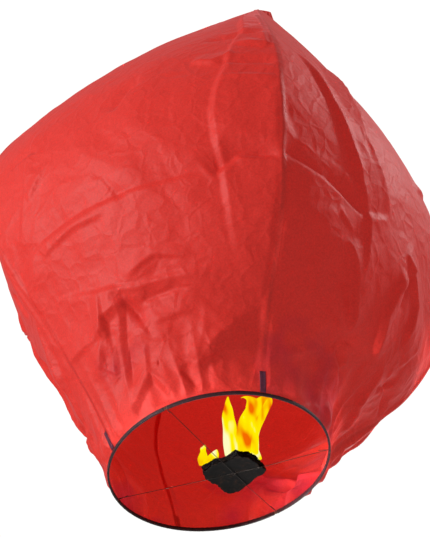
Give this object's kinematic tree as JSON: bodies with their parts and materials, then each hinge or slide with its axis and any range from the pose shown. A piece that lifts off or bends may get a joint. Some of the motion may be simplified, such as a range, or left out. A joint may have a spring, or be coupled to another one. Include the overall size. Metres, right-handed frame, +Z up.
{
  "type": "sky lantern",
  "caption": "Tissue-paper sky lantern: gores glued into a leaning bag with a pinched crown, a bamboo hoop in a paper hem, crossed wires and a charred waxed fuel pad.",
  "frame": {"origin": "middle of the whole object's footprint, at the hem's underside", "axes": "+Z up through the bag, -Y the front with the near seam, +X the side that the crown leans to"},
  "size_m": [0.6585, 0.6732, 0.907],
  "materials": {
    "red_tissue": "matt, creased",
    "hem_paper": "glued double paper over bamboo, matt",
    "tab_paper": "glued double paper, matt",
    "bamboo": "split strip, unfinished",
    "thread": "cotton thread, wrapped",
    "binding_wire": "annealed, sooty",
    "charred_fuel": "waxed paper, charred"
  },
  "bodies": {
    "hoop_and_bag": {"gore_front_left": "red_tissue", "gore_front_right": "red_tissue", "gore_back_right": "red_tissue", "gore_back_left": "red_tissue", "seam_tab_front": "tab_paper", "seam_tab_right": "tab_paper", "seam_tab_back": "tab_paper", "seam_tab_left": "tab_paper", "hem_front": "hem_paper", "hem_right": "hem_paper", "hem_back": "hem_paper", "hem_left": "hem_paper", "hoop": "bamboo", "hoop_splice_wrap": "thread", "cross_wire_a": "binding_wire", "cross_wire_b": "binding_wire", "fuel_tie": "binding_wire"},
    "crown": {"crown_tab": "red_tissue"},
    "fuel_pad": {"fuel_layer_1": "charred_fuel", "fuel_layer_2": "charred_fuel", "fuel_layer_3": "charred_fuel", "fuel_layer_4": "charred_fuel", "fuel_layer_5": "charred_fuel"}
  },
  "joints": [
    {"name": "envelope_collapse", "type": "slide", "parent": "hoop_and_bag", "child": "crown", "axis": [0, 0, -1], "range_m": [0, 0.7], "deforming": ["gore_front_left", "gore_front_right", "gore_back_right", "gore_back_left"]},
    {"name": "fuel_lift", "type": "slide", "parent": "hoop_and_bag", "child": "fuel_pad", "axis": [0, 0, 1], "range_m": [0, 0.08]}
  ]
}
